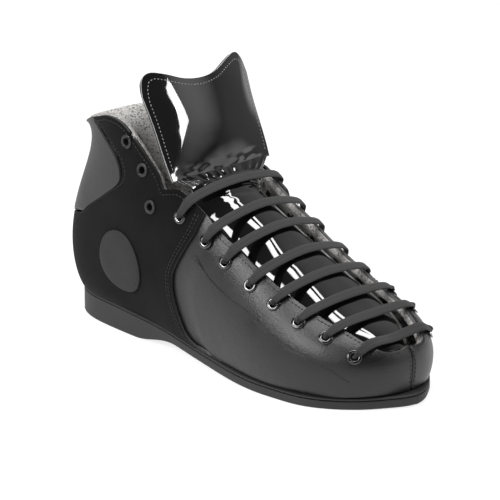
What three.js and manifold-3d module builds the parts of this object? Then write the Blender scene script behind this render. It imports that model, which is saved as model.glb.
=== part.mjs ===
// Short skate boot for the right foot: a lasted leather upper on a flat rubber sole with a low
// heel, laced over eleven eyelet pairs, with a padded tongue that ends in a folding front flap.
// +X points to the toe, +Y to the inner (medial) side of the foot and +Z up; millimetres.
import * as THREE from "three";
import { mergeVertices } from "three/addons/utils/BufferGeometryUtils.js";
import Module from "manifold-3d";

const wasm = await Module();
wasm.setup();

// ---- Driving dimensions ----
const SOLE_LENGTH = 280;
const SOLE_THICKNESS = 7;
const HEEL_RISE = 10;            // how much higher the heel seat stands than the ball of the foot
const RISE_FROM_X = 66;          // the sole's top climbs from here, at the ball ...
const RISE_TO_X = -104;          // ... to here, under the heel
const TOE_SPRING = 1;
const SPRING_FROM_X = 112;
const HEEL_BREAST_X = -60;       // front edge of the heel's tread
const HEEL_FRONT_X = -24;        // where the sloping breast meets the sole
const GAP = 0.3;                 // clearance between pieces that touch
const SOLE_HALF_WIDTH = 44;      // typical half width, which an inset draws in
const TIP_TURN = 0.07;           // the sole's layers end blunt, this far round before their tips

const LEATHER = 1.5;             // thickness of the outer leather
const QUARTER_PROUD = 0.8;       // the quarters stand this far out of the vamp's face
const LAP = 0.35;                // the vamp runs this many stations on under the quarters
const LAP_SINK = 1.3;            // and dips this far to pass under them
const STAY = [-4.25, -3.85];       // depths of the eyelet stays, inner and outer face
const LINING = [-5.8, -4.9];     // of the lining along the throat ...
const STUFFED = -0.9;             // ... and how much deeper it lies over the stiffeners and padding
const COUNTER = [-4.2, -2.2];
const PUFF = [-3.6, -2.4];
const PADDING = [-4.1, -2.2];

const EYELET_HOLE = 2.4;         // radii of an eyelet
const EYELET_BARREL = 2.8;
const EYELET_FLANGE = 4.1;
const EYELET_CLINCH = 3.7;
const EYELET_CUT = 3.4;
const EYELET_SIDES = 8;
const LACE_WIDTH = 7;
const LACE_THICKNESS = 1.2;
const AGLET_RADIUS = 1.6;
const AGLET_LENGTH = 18;

const HINGE_X = -21.5;           // fold line between tongue and flap, on their front faces
const HINGE_Z = 110.5;
const FLAP_LEAN = 0.36;          // backward lean of the flap, as a slope
const FLAP_START = 0.9;          // the flap's leather starts this far above the fold line

// ---- Small tools ----
const mix = THREE.MathUtils.lerp;
const ease = (x, from, to) => THREE.MathUtils.smoothstep((x - from) / (to - from), 0, 1);

// A smooth function through hand-set [x, y] points (Catmull-Rom slopes).
function curve(points) {
  const slope = (i) => {
    const before = points[Math.max(i - 1, 0)];
    const after = points[Math.min(i + 1, points.length - 1)];
    return (after[1] - before[1]) / (after[0] - before[0]);
  };
  return (x) => {
    let i = 0;
    while (i < points.length - 2 && x > points[i + 1][0]) i += 1;
    const span = points[i + 1][0] - points[i][0];
    const t = THREE.MathUtils.clamp((x - points[i][0]) / span, 0, 1);
    const rise = t * t * (3 - 2 * t);
    return points[i][1] * (1 - rise) + points[i + 1][1] * rise
      + slope(i) * span * t * (1 - t) ** 2 - slope(i + 1) * span * t * t * (1 - t);
  };
}

// A box whose corners and edges are moved by place(a, b, c), each running from 0 to 1.
// a, b and c keep their right-handed order, so the faces stay turned outwards.
function bent(stepsA, stepsB, place) {
  const geometry = new THREE.BoxGeometry(1, 1, 1, stepsA, stepsB, 1);
  const spots = geometry.attributes.position;
  for (let i = 0; i < spots.count; i += 1) {
    const spot = place(spots.getX(i) + 0.5, spots.getY(i) + 0.5, spots.getZ(i) + 0.5);
    spots.setXYZ(i, spot.x, spot.y, spot.z);
  }
  return geometry;
}

// The unit normal of a surface point(a, b), on the side where a turns to b anticlockwise.
function normalOf(point, a, b) {
  const step = 1e-3;
  const alongA = point(a + step, b).sub(point(a - step, b));
  const alongB = point(a, b + step).sub(point(a, b - step));
  return alongA.cross(alongB).normalize();
}

function solid(geometry) {
  const bare = geometry.clone();
  bare.deleteAttribute("normal");
  bare.deleteAttribute("uv");
  const merged = mergeVertices(bare, 1e-4);
  return new wasm.Manifold(new wasm.Mesh({
    numProp: 3,
    vertProperties: new Float32Array(merged.attributes.position.array),
    triVerts: new Uint32Array(merged.index.array),
  }));
}

function geometryOf(manifold) {
  const mesh = manifold.getMesh();
  const geometry = new THREE.BufferGeometry();
  geometry.setAttribute("position", new THREE.BufferAttribute(mesh.vertProperties, 3));
  geometry.setIndex(new THREE.BufferAttribute(mesh.triVerts, 1));
  return geometry;
}

const boot = new THREE.Group();
function add(name, geometry, colour, roughness, metalness = 0) {
  const material = new THREE.MeshStandardMaterial({ color: colour, roughness, metalness });
  const mesh = new THREE.Mesh(geometry, material);
  mesh.name = name;
  boot.add(mesh);
  return mesh;
}

// ---- Sole ----
// Half widths of the sole: [distance from the back of the heel, outer side, inner side].
const SOLE_WIDTHS = [
  [0, 0, 0], [10, 20, 20], [28, 29, 28], [60, 34, 32], [100, 37.5, 28.5], [140, 44.5, 30],
  [180, 51.5, 41], [205, 52.6, 47.5], [235, 49, 45.5], [260, 33, 32], [274, 16, 15.5], [280, 0, 0],
];
const turnAt = (distance) => Math.acos(1 - 2 * distance / SOLE_LENGTH);
const outerWidth = curve(SOLE_WIDTHS.map(([distance, outer]) => [turnAt(distance), outer]));
const innerWidth = curve(SOLE_WIDTHS.map(([distance, , inner]) => [turnAt(distance), inner]));
const soleTop = (x) => SOLE_THICKNESS + HEEL_RISE * ease(x, RISE_FROM_X, RISE_TO_X)
  + TOE_SPRING * ease(x, SPRING_FROM_X, SOLE_LENGTH / 2);
const soleBottom = (x) => soleTop(x) - SOLE_THICKNESS;

// A layer of the sole between two x positions, drawn in from the sole's edge by inset.
function soleLayer({ from, to, inset = 0, low, high, steps }) {
  const shrinkX = (SOLE_LENGTH / 2 - inset) / (SOLE_LENGTH / 2);
  const shrinkY = 1 - inset / SOLE_HALF_WIDTH;
  const turn = (x) => Math.acos(THREE.MathUtils.clamp(-x / (shrinkX * SOLE_LENGTH / 2), -1, 1));
  const start = Math.max(turn(from), TIP_TURN);
  const end = Math.min(turn(to), Math.PI - TIP_TURN);
  return bent(steps, 2, (a, b, c) => {
    const angle = mix(start, end, a);
    const x = -Math.cos(angle) * shrinkX * SOLE_LENGTH / 2;
    const y = mix(-outerWidth(angle), innerWidth(angle), b) * shrinkY;
    return new THREE.Vector3(x, y, mix(low(x), high(x), c));
  });
}

const above = (height) => (x) => soleTop(x) + height;
// The heel stands on the ground and slopes up to the sole in front of its breast.
const heelBottom = (x) => ease(x, HEEL_BREAST_X - 6, HEEL_FRONT_X) * (soleBottom(x) - 1);
add("outsole", soleLayer({ from: -140, to: 140, low: soleBottom, high: soleTop, steps: 30 }),
  0x26262a, 0.75);
add("heel_lift", soleLayer({
  from: -140, to: HEEL_FRONT_X, low: (x) => (x < HEEL_BREAST_X ? 0 : heelBottom(x)),
  high: (x) => soleBottom(x) - GAP, steps: 18,
}), 0x26262a, 0.75);
add("forefoot_filler", soleLayer({
  from: 12, to: 108, inset: 13, low: above(GAP), high: above(1.8), steps: 10,
}), 0x8a6a45, 0.95);
add("shank", bent(12, 1, (a, b, c) => {
  const x = mix(-100, 2, a);
  return new THREE.Vector3(x, mix(-7, 7, b), above(mix(0.4, 1.6, c))(x));
}), 0x8c9096, 0.35, 1);
add("insole_board", soleLayer({
  from: -140, to: 140, inset: 11, low: above(2.1), high: above(4.1), steps: 24,
}), 0x9a7b55, 0.9);
add("footbed", soleLayer({
  from: -140, to: 140, inset: 13, low: above(4.4), high: above(7.6), steps: 24,
}), 0x3a3b3e, 0.95);

// ---- The upper's outer face ----
// Five loops round the foot, from the feather line at the sole up to the collar. Stations run
// from the toe centre (0) down the outer side to the heel centre (12):
// [x, half width on the outer side, half width on the inner side, height].
const STATIONS = 12;
const LOOP = 2 * STATIONS;
const FEATHER = [
  [134.5, 0, 0], [128.5, 21, 21], [111, 39, 37.5], [87, 48, 44.5], [58, 50, 44.5],
  [28, 46.5, 37], [-2, 41.5, 29], [-32, 37, 26], [-62, 33.5, 28], [-92, 31, 30],
  [-118, 26, 26], [-133, 15.5, 15.5], [-138, 0, 0],
].map(([x, outer, inner]) => [x, outer, inner, soleTop(x)]);
const BULGE = [
  [136, 0, 0, 20], [130, 24, 23.5, 20], [112, 42, 40, 20], [87.5, 51.5, 47.5, 20],
  [58, 53, 47, 21], [28, 49, 41, 22], [-2, 44.5, 36, 25], [-32, 41, 34, 28], [-62, 38, 34, 31],
  [-94, 36.5, 35, 34], [-122, 31, 30, 35], [-139, 18, 18, 35], [-145, 0, 0, 35],
];
const SHOULDER = [
  [134, 0, 0, 33], [127, 23, 22, 33], [108.5, 39, 38, 36], [85, 46, 43.5, 41],
  [57, 46.5, 43.5, 46], [28, 45.5, 43, 52], [-2, 44.5, 42, 58], [-31, 43.5, 41, 63],
  [-61, 42, 40, 66], [-93, 38, 37.5, 68], [-120, 31.5, 31, 69], [-137, 18, 18, 69],
  [-142.5, 0, 0, 69],
];
const INSTEP = [
  [124, 0, 0, 41], [119, 13, 12, 42], [104, 23, 23, 47], [82, 26.5, 27, 54.5], [57, 29, 30, 65],
  [29, 32, 33, 77.5], [0, 36, 36.5, 91], [-29, 39, 39, 101], [-59, 40, 39.5, 106],
  [-89, 37, 36.5, 108], [-112, 28.5, 28.5, 106], [-124.5, 15.5, 15.5, 104], [-129, 0, 0, 103],
];
const COLLAR = [
  [106, 0, 0, 47.5], [103, 0, 0, 48.5], [95, 0, 0, 52], [79, 0, 0, 60], [57, 0, 0, 71],
  [31, 0, 0, 85], [6, 0, 0, 103], [-20, 26, 26, 128], [-55, 38, 38, 140], [-88, 37.5, 37, 142],
  [-113, 30, 30, 134], [-127.5, 16, 16, 125], [-133.5, 0, 0, 122],
];

// Control points of the closed cubic spline that passes through a level's stations.
function splineOf(level) {
  const through = [];
  for (let k = 0; k < LOOP; k += 1) {
    const [x, outer, inner, z] = level[k <= STATIONS ? k : LOOP - k];
    through.push(new THREE.Vector3(x, k <= STATIONS ? -outer : inner, z));
  }
  const control = through.map((point) => point.clone());
  for (let round = 0; round < 40; round += 1) {
    for (let k = 0; k < LOOP; k += 1) {
      control[k].copy(through[k]).multiplyScalar(6)
        .sub(control[(k + LOOP - 1) % LOOP]).sub(control[(k + 1) % LOOP]).divideScalar(4);
    }
  }
  return control;
}
const SPLINES = [FEATHER, BULGE, SHOULDER, INSTEP, COLLAR].map(splineOf);

function levelPoint(control, station) {
  const s = THREE.MathUtils.euclideanModulo(station, LOOP);
  const k = Math.floor(s);
  const t = s - k;
  const weights = [(1 - t) ** 3, 3 * t ** 3 - 6 * t * t + 4, -3 * t ** 3 + 3 * t * t + 3 * t + 1, t ** 3];
  const point = new THREE.Vector3();
  weights.forEach((weight, i) => {
    point.addScaledVector(control[(k + i + LOOP - 1) % LOOP], weight / 6);
  });
  return point;
}

// Point of the outer face at station s and height share v: 0 at the sole, 1 at the collar.
function face(s, v) {
  const point = new THREE.Vector3();
  SPLINES.forEach((control, i) => {
    let weight = 1;
    for (let j = 0; j < 5; j += 1) {
      if (j !== i) weight *= (v * 4 - j) / (i - j);
    }
    point.addScaledVector(levelPoint(control, s), weight);
  });
  return point;
}
const outward = (s, v) => normalOf(face, s, v).negate();
const skin = (s, v, out = 0) => face(s, v).addScaledVector(outward(s, v), out);

// ---- Edges of the upper's panels, as station against height share or the other way round ----
const topLine = curve([
  [0, 0.57], [0.33, 0.54], [0.77, 0.55], [1.13, 0.62], [1.77, 0.69], [2.3, 0.7], [3, 0.7],
  [3.77, 0.7], [4.5, 0.71], [5.1, 0.73], [5.8, 0.75], [6.1, 0.77], [6.47, 0.785], [6.83, 0.795],
  [7.07, 0.775], [7.23, 0.765], [7.43, 0.81], [7.83, 0.87], [8.2, 0.925], [8.5, 0.97],
  [8.9, 0.985], [9.4, 0.975], [10.2, 0.985], [11, 1], [12, 1],
]);
const seamLine = curve([
  [0, 5.5], [0.05, 5.9], [0.11, 6.27], [0.25, 6.57], [0.36, 6.73], [0.44, 6.73], [0.5, 6.6],
  [0.6, 6.33], [0.68, 6.17], [0.8, 6.12],
]);
const stayLine = curve([
  [1.2, 0.33], [1.67, 0.3], [2, 0.33], [2.53, 0.39], [3.5, 0.43], [4.27, 0.47], [5, 0.49],
  [5.87, 0.55], [6.6, 0.6], [7.2, 0.58], [7.8, 0.7], [8.4, 0.8],
]);
const backLine = curve([
  [0, 12], [0.4, 12], [0.44, 11.6], [0.475, 10.8], [0.51, 9.95], [0.57, 9.53], [0.64, 8.97],
  [0.71, 8.5], [0.75, 8.43], [0.81, 8.6], [0.87, 9], [0.95, 9.5], [1, 9.55],
]);
const backEdge = (v) => Math.min(backLine(v), STATIONS) - 0.03;
const backFoot = curve([
  [9.9, 0.53], [10.8, 0.487], [11.6, 0.45], [12, 0.43], [12.4, 0.45], [13.2, 0.487], [14.1, 0.53],
]);

// A panel of the upper. start and finish give its end stations at a height share, low and high
// its edges at a station, inside and outside its two faces as distances out of the outer face.
// inner: true makes the same panel on the inner side of the foot.
function panel({ start, finish, low, high, inside, outside, along, up, inner = false }) {
  const end = (line, b) => {
    let s = line(b);
    for (let round = 0; round < 6; round += 1) s = line(mix(low(s), high(s), b));
    return s;
  };
  return bent(along, up, (a, b, c) => {
    const s = mix(end(start, b), end(finish, b), inner ? a : 1 - a);
    const v = mix(low(s), high(s), b);
    return skin(inner ? LOOP - s : s, v, mix(inside(s, v), outside(s, v), c));
  });
}
const flat = (value) => () => value;
// How much deeper the lining lies than along the throat, at station s and height share v.
const stuffing = (s, v) => {
  const foot = 0.42 - 0.14 * ease(s, 1.2, 1.45);
  return STUFFED * (1 - ease(v, foot, foot + 0.08) * ease(s, 8.8, 8.45));
};
const vampSink = (s, v) => -LAP_SINK * ease(seamLine(v) + LAP - s, 1.1, 0.6);
const mirrored = (line) => (s) => line(s <= STATIONS ? s : LOOP - s);

// ---- Eyelets ----
// [station, height share] of each eyelet on the outer side, toe first.
const EYELETS = [
  [1.5, 0.48], [2.3, 0.58], [3.1, 0.585], [3.87, 0.6], [4.57, 0.61], [5.3, 0.635],
  [5.87, 0.665], [6.62, 0.695], [7.47, 0.67], [7.82, 0.8], [8.33, 0.89],
];
const VAMP_EYELETS = 7;          // the rest go through the quarters
const LACED = 8;                 // pairs that the lace passes through

// A frame standing on the upper at an eyelet, its Y axis pointing out of the boot.
function eyeletFrame(index, inner) {
  const [s, v] = EYELETS[index];
  const station = inner ? LOOP - s : s;
  const out = outward(station, v);
  const turn = new THREE.Quaternion().setFromUnitVectors(new THREE.Vector3(0, 1, 0), out);
  return new THREE.Matrix4().compose(face(station, v), turn, new THREE.Vector3(1, 1, 1));
}

function punched(geometry, inner, first, last) {
  let body = solid(geometry);
  for (let i = first; i < last; i += 1) {
    const punch = new THREE.CylinderGeometry(EYELET_CUT, EYELET_CUT, 30, EYELET_SIDES);
    punch.applyMatrix4(eyeletFrame(i, inner));
    body = body.subtract(solid(punch));
  }
  return geometryOf(body);
}

function eyelet(index, inner) {
  const seat = (index < VAMP_EYELETS ? 0 : QUARTER_PROUD) + 0.35;
  const tail = LINING[0] - 1.5;
  const outline = [
    [EYELET_HOLE, seat + 0.7], [EYELET_FLANGE, seat + 0.5], [EYELET_FLANGE, seat],
    [EYELET_BARREL, seat], [EYELET_BARREL, tail], [EYELET_CLINCH, tail],
    [EYELET_HOLE, tail - 0.5],
  ].map(([r, y]) => new THREE.Vector2(r, y));
  outline.reverse();
  outline.push(outline[0].clone());
  const ring = new THREE.LatheGeometry(outline, EYELET_SIDES);
  ring.applyMatrix4(eyeletFrame(index, inner));
  return ring;
}

// ---- Upper, one set of panels for each side ----
const PATCH = {
  station: 8.35, halfStations: 0.62, height: 0.38, halfHeight: 0.14, lift: 0.5, thickness: 0.9,
};
for (const [side, inner] of [["outer", false], ["inner", true]]) {
  add(`vamp_${side}`, punched(panel({
    start: flat(0.012), finish: (v) => seamLine(v) + LAP, low: flat(0.045), high: topLine,
    inside: (s, v) => vampSink(s, v) - LEATHER, outside: vampSink, along: 15, up: 6, inner,
  }), inner, 0, VAMP_EYELETS), 0x35363a, 0.5);
  add(`quarter_${side}`, punched(panel({
    start: seamLine, finish: backEdge, low: flat(0.06), high: topLine,
    inside: flat(QUARTER_PROUD - LEATHER), outside: flat(QUARTER_PROUD), along: 11, up: 11, inner,
  }), inner, VAMP_EYELETS, EYELETS.length), 0x17171a, 0.9);
  add(`eyelet_stay_${side}`, punched(panel({
    start: flat(1.25), finish: flat(8.45), low: stayLine, high: (s) => topLine(s) - 0.012,
    inside: flat(STAY[0]), outside: flat(STAY[1]), along: 20, up: 3, inner,
  }), inner, 0, EYELETS.length), 0x2a2a2c, 0.95);
  add(`lining_${side}`, punched(panel({
    start: flat(0.03), finish: flat(11.97), low: flat(0.09), high: (s) => topLine(s) - 0.006,
    inside: (s, v) => LINING[0] + stuffing(s, v), outside: (s, v) => LINING[1] + stuffing(s, v),
    along: 28, up: 8, inner,
  }), inner, 0, EYELETS.length), 0xb9b9b6, 0.95);
  add(`ankle_patch_${side}`, bent(6, 5, (a, b, c) => {
    const across = 2 * a - 1;
    const upward = 2 * b - 1;
    const turned = inner ? across : -across;
    const s = PATCH.station + PATCH.halfStations * turned * Math.sqrt(1 - upward ** 2 / 2);
    const v = PATCH.height + PATCH.halfHeight * upward * Math.sqrt(1 - across ** 2 / 2);
    return skin(inner ? LOOP - s : s, v, QUARTER_PROUD + PATCH.lift + PATCH.thickness * c);
  }), 0x303134, 0.5);
}
add("back_panel", panel({
  start: (v) => backLine(v) + 0.07, finish: (v) => LOOP - backLine(v) - 0.07,
  low: backFoot, high: mirrored(topLine), inside: flat(QUARTER_PROUD - LEATHER),
  outside: flat(QUARTER_PROUD), along: 14, up: 7,
}), 0x2b2c2f, 0.55);
add("toe_puff", panel({
  start: flat(-1.2), finish: flat(1.2), low: flat(0.1), high: flat(0.4),
  inside: flat(PUFF[0]), outside: flat(PUFF[1]), along: 12, up: 5,
}), 0x6f6658, 0.9);
add("heel_counter", panel({
  start: flat(9), finish: flat(15), low: flat(0.08), high: flat(0.38),
  inside: flat(COUNTER[0]), outside: flat(COUNTER[1]), along: 14, up: 5,
}), 0x6f6658, 0.9);
add("collar_padding", panel({
  start: flat(8.8), finish: flat(15.2), low: flat(0.58), high: flat(0.86),
  inside: flat(PADDING[0]), outside: flat(PADDING[1]), along: 14, up: 4,
}), 0xa8a8a4, 1);
EYELETS.forEach((spot, i) => {
  add(`eyelet_outer_${i + 1}`, eyelet(i, false), 0x111113, 0.3, 1);
  add(`eyelet_inner_${i + 1}`, eyelet(i, true), 0x111113, 0.3, 1);
});

// ---- Tongue ----
// Middle line of the tongue's front face as [x, height], and the stations of its two edges:
// they run inside the lining, so far in that the lace fits between.
const TONGUE_MIDDLE = [
  [-19.8, 109.8], [-8, 104], [6, 97], [31, 82.5], [57, 68.5], [79, 57.5], [95, 50], [110, 43],
  [118, 37.5], [124, 31.5],
];
const TONGUE_TOE = 124;
const TONGUE_TOP = -19.8;
const TONGUE_EDGE_STATIONS = [1.35, 1.9, 2.6, 3.5, 4.4, 5.4, 6.25];
const TONGUE_EDGE_DEPTH = -10.3;
const TONGUE_EDGE_DROP = 0.13;   // how far below the top line its edges run
const TONGUE_TOP_HALF = 30;
const TONGUE_FULLNESS = 2.8;
const ridge = curve(TONGUE_MIDDLE);
function edgeRail(inner) {
  const points = TONGUE_EDGE_STATIONS.map((s) => (
    skin(inner ? LOOP - s : s, topLine(s) - TONGUE_EDGE_DROP, TONGUE_EDGE_DEPTH)));
  points.push(new THREE.Vector3(-19.8, inner ? TONGUE_TOP_HALF : -TONGUE_TOP_HALF, 106.5));
  return new THREE.CatmullRomCurve3(points, false, "centripetal");
}
const outerRail = edgeRail(false);
const innerRail = edgeRail(true);
// Front face of the tongue: across runs from the outer edge (-1) to the inner edge (1).
function tongueFace(across, along) {
  const t = THREE.MathUtils.clamp(along, 0, 1);
  const edge = (across < 0 ? outerRail : innerRail).getPoint(t);
  const x = mix(TONGUE_TOE, TONGUE_TOP, t);
  return new THREE.Vector3(
    mix(x, edge.x, across * across), Math.abs(across) * edge.y,
    mix(ridge(x), edge.z, Math.abs(across) ** TONGUE_FULLNESS));
}
function tongueLayer(inside, outside, half, from, to) {
  return bent(8, 14, (a, b, c) => {
    const across = mix(-half, half, a);
    const along = mix(from, to, b);
    const out = normalOf(
      tongueFace, THREE.MathUtils.clamp(across, -0.98, 0.98), THREE.MathUtils.clamp(along, 0.003, 0.997));
    return tongueFace(across, along).addScaledVector(out, mix(inside, outside, c));
  });
}
add("tongue_shell", tongueLayer(-1.2, 0, 1, 0, 1), 0x0b0b0d, 0.08);
add("tongue_foam", tongueLayer(-4.4, -2.2, 0.78, 0.03, 0.92), 0xa8a8a4, 1);
add("tongue_lining", tongueLayer(-6.1, -5.2, 0.94, 0.01, 0.97), 0xb9b9b6, 0.95);

// ---- Flap ----
const flapHeight = curve([
  [-1, 50], [-0.94, 59], [-0.82, 63.5], [-0.6, 62], [-0.3, 57.5], [0, 56], [0.3, 57.5],
  [0.6, 62], [0.82, 63.5], [0.94, 59], [1, 50],
]);
const flapHalf = curve([[0, 41.5], [12, 42.5], [35, 43], [55, 45], [64, 45.5]]);
// Front face of the flap: across runs from the outer edge (-1) to the inner edge (1).
function flapFace(across, share) {
  const height = FLAP_START + share * (flapHeight(across) - FLAP_START);
  const bow = (2 + 7 * height / 64) * across * across;
  return new THREE.Vector3(
    HINGE_X - FLAP_LEAN * height - bow, across * flapHalf(height), HINGE_Z + height);
}
function flapLayer(inside, outside, half, from, to) {
  return bent(10, 6, (a, b, c) => {
    const across = mix(-half, half, a);
    const share = mix(from, to, b);
    const out = normalOf(flapFace, THREE.MathUtils.clamp(across, -0.98, 0.98), share);
    return flapFace(across, share).addScaledVector(out, mix(inside, outside, c));
  });
}
add("flap_shell", flapLayer(-1.2, 0, 1, 0, 1), 0x0b0b0d, 0.08);
add("flap_foam", flapLayer(-4.1, -1.6, 0.93, 0.04, 0.95), 0xa8a8a4, 1);
add("flap_lining", flapLayer(-5.4, -4.5, 0.99, 0.01, 0.99), 0x1a1a1c, 0.95);

// ---- Lace ----
// The lace crosses at every pair, outside, and climbs to the next pair inside. Each stop of its
// route has a place, the outward direction of its flat side, a width and a thickness.
const stops = [];
function stop(place, out, width = LACE_WIDTH, thickness = LACE_THICKNESS) {
  stops.push({ place, out, width, thickness });
}
function onUpper(s, v, out, inner, width, thickness) {
  const station = inner ? LOOP - s : s;
  stop(skin(station, v, out), outward(station, v), width, thickness);
}
const LACE_DEPTH = LINING[0] - 2.9;
const STATION_LENGTH = 27;       // stations stand about this far apart along the throat
const LINK_WIDTH = 5;
const LACE_CLIMB = 0.5;         // how far forward a bar leans as it climbs to the ridge
// Takes the lace through an eyelet. Inside, its flat side turns to face along the row of
// eyelets: turn is 1 where the lace arrives from the toe side, -1 where the heel side holds it.
function throughEyelet(index, inner, inwards, turn) {
  const [s, v] = EYELETS[index];
  const station = inner ? LOOP - s : s;
  const proud = index < VAMP_EYELETS ? 0 : QUARTER_PROUD;
  const away = face(station, v - 0.01).sub(face(station, v + 0.01)).normalize();
  const heelward = face(station, v).sub(face(station + (inner ? 0.01 : -0.01), v)).normalize();
  const aside = heelward.multiplyScalar(turn);
  const halfway = away.clone().add(aside);
  const below = aside.clone().sub(outward(station, v));
  const passage = [
    [proud + 2.1, away], [proud + 0.6, away], [-2.4, halfway], [LINING[0] - 0.9, aside],
    [LACE_DEPTH, below],
  ];
  (inwards ? passage : passage.reverse()).forEach(([depth, out]) => {
    stop(skin(station, v, depth), out, 2.4, 1.5);
  });
}
function bar(index, fromInner) {
  const [s, v] = EYELETS[index];
  const proud = index < VAMP_EYELETS ? 0 : QUARTER_PROUD;
  const edge = face(s, v);
  let x = edge.x;
  for (let round = 0; round < 8; round += 1) x = edge.x + LACE_CLIMB * (ridge(x) - edge.z);
  const climb = [[0.35, 2.2, 0.75], [0.95, 2.4, 0.95]].map(([share, out, width]) => {
    let station = s;
    for (let round = 0; round < 8; round += 1) {
      const place = face(station, mix(v, topLine(station), share));
      station -= (edge.x + LACE_CLIMB * (place.z - edge.z) - place.x) / STATION_LENGTH;
    }
    return [station, mix(v, topLine(station), share), out + proud, width * LACE_WIDTH];
  });
  climb.forEach(([station, share, out, width]) => onUpper(station, share, out, fromInner, width));
  stop(new THREE.Vector3(x, 0, ridge(x) + 2.3), new THREE.Vector3(0.45, 0, 0.9));
  climb.reverse().forEach(([station, share, out, width]) => {
    onUpper(station, share, out, !fromInner, width);
  });
}
function alongInside(s, v, inner) {
  const station = inner ? LOOP - s : s;
  stop(skin(station, v, LACE_DEPTH), outward(station, v).negate(), LINK_WIDTH);
}
function link(index, inner) {
  const [s0, v0] = EYELETS[index];
  const [s1, v1] = EYELETS[index + 1];
  [0.3, 0.7].forEach((share) => {
    alongInside(mix(s0, s1, share), mix(v0, v1, share), inner);
  });
}
// Both ends are tucked in between the lining and the foot, on the outer side.
const FIRST_END = [[7.4, 0.46], [6.9, 0.45], [6.2, 0.44], [5.4, 0.43], [4.2, 0.42], [3, 0.42], [2, 0.4]];
const LAST_END = [[7, 0.64], [7.35, 0.61], [7.75, 0.59]];
FIRST_END.forEach(([s, v]) => alongInside(s, v, false));
for (let i = 0; i < LACED; i += 1) {
  const fromInner = i % 2 === 1;
  throughEyelet(i, fromInner, false, i === 0 ? -1 : 1);
  bar(i, fromInner);
  throughEyelet(i, !fromInner, true, -1);
  if (i < LACED - 1) link(i, !fromInner);
}
LAST_END.forEach(([s, v]) => alongInside(s, v, false));

const lacePath = new THREE.CatmullRomCurve3(stops.map((entry) => entry.place), false, "centripetal");
add("lace", bent(stops.length - 1, 1, (a, b, c) => {
  const at = a * (stops.length - 1);
  const i = Math.min(Math.floor(at), stops.length - 2);
  const share = at - i;
  const before = stops[i];
  const after = stops[i + 1];
  const along = lacePath.getTangent(a);
  const out = before.out.clone().lerp(after.out, share);
  out.addScaledVector(along, -out.dot(along)).normalize();
  const across = along.clone().cross(out);
  return lacePath.getPoint(a)
    .addScaledVector(across, (0.5 - b) * mix(before.width, after.width, share))
    .addScaledVector(out, (c - 0.5) * mix(before.thickness, after.thickness, share));
}), 0x2c2c2f, 0.9);
for (const [name, at, end] of [["aglet_first", 0, -1], ["aglet_last", 1, 1]]) {
  const aglet = new THREE.CylinderGeometry(AGLET_RADIUS, AGLET_RADIUS, AGLET_LENGTH, 8);
  const along = lacePath.getTangent(at).multiplyScalar(end);
  const inwards = (at ? stops[stops.length - 1] : stops[0]).out;
  aglet.applyQuaternion(new THREE.Quaternion().setFromUnitVectors(new THREE.Vector3(0, 1, 0), along));
  const centre = lacePath.getPoint(at).addScaledVector(along, AGLET_LENGTH / 2 + GAP)
    .addScaledVector(inwards, 1.2);
  aglet.translate(centre.x, centre.y, centre.z);
  add(name, aglet, 0x151517, 0.3);
}

const box = new THREE.Box3().setFromObject(boot);
const middle = box.getCenter(new THREE.Vector3());
boot.position.set(-middle.x, -middle.y, -box.min.z);
export default boot;
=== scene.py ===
import math

import bmesh
import bpy
import numpy as np
from mathutils import Matrix, Vector, noise


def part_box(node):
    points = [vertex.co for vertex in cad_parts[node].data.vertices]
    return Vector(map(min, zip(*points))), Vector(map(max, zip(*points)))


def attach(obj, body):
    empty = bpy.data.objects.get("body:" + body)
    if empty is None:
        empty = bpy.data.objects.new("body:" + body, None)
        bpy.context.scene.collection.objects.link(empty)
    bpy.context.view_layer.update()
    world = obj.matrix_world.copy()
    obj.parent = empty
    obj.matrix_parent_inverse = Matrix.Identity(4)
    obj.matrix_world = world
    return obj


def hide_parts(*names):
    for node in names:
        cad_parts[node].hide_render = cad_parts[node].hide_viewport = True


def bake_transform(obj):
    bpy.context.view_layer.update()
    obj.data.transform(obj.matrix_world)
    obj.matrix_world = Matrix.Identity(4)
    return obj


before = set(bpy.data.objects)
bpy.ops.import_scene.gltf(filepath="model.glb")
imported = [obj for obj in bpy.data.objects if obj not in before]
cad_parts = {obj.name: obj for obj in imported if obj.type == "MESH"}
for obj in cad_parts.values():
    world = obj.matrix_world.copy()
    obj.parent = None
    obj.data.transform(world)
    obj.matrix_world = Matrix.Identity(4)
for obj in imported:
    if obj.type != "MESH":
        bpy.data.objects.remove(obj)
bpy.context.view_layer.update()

# ---- Camera ----
# A long lens a few metres off, looking down at the toe and the outer side. The boot is drawn in
# millimetres from the middle of its sole; to_frame puts such points into the frame, in metres.
sole_low, sole_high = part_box("outsole")
shank_low, shank_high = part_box("shank")
sole_middle = np.array([(sole_low.x + sole_high.x) / 2, (shank_low.y + shank_high.y) / 2, 0.0])


def to_frame(points):
    return np.asarray(points, float) * 0.001 + sole_middle


camera_turn = math.radians(45)
camera_rise = math.radians(18)
camera_away = 2.0
camera_back = Vector((
    math.sin(camera_turn) * math.cos(camera_rise),
    -math.cos(camera_turn) * math.cos(camera_rise),
    math.sin(camera_rise),
))
camera_data = bpy.data.cameras.new("camera")
camera_data.lens = 234.7
camera_data.shift_y = 0.014
camera = bpy.data.objects.new("camera", camera_data)
camera.location = Vector(to_frame([0, 0, 60])) + camera_back * camera_away
camera.rotation_mode = "QUATERNION"
camera.rotation_quaternion = (-camera_back).to_track_quat("-Z", "Y")
bpy.context.scene.collection.objects.link(camera)
bpy.context.scene.camera = camera
bpy.context.scene.view_settings.view_transform = "Standard"

# ---- Lace ----
# A flat woven charcoal lace, 7 mm wide. It crosses the throat at eight eyelet pairs, climbs
# from pair to pair inside the boot, and is tucked in at both ends, so it is held all the way.

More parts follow.
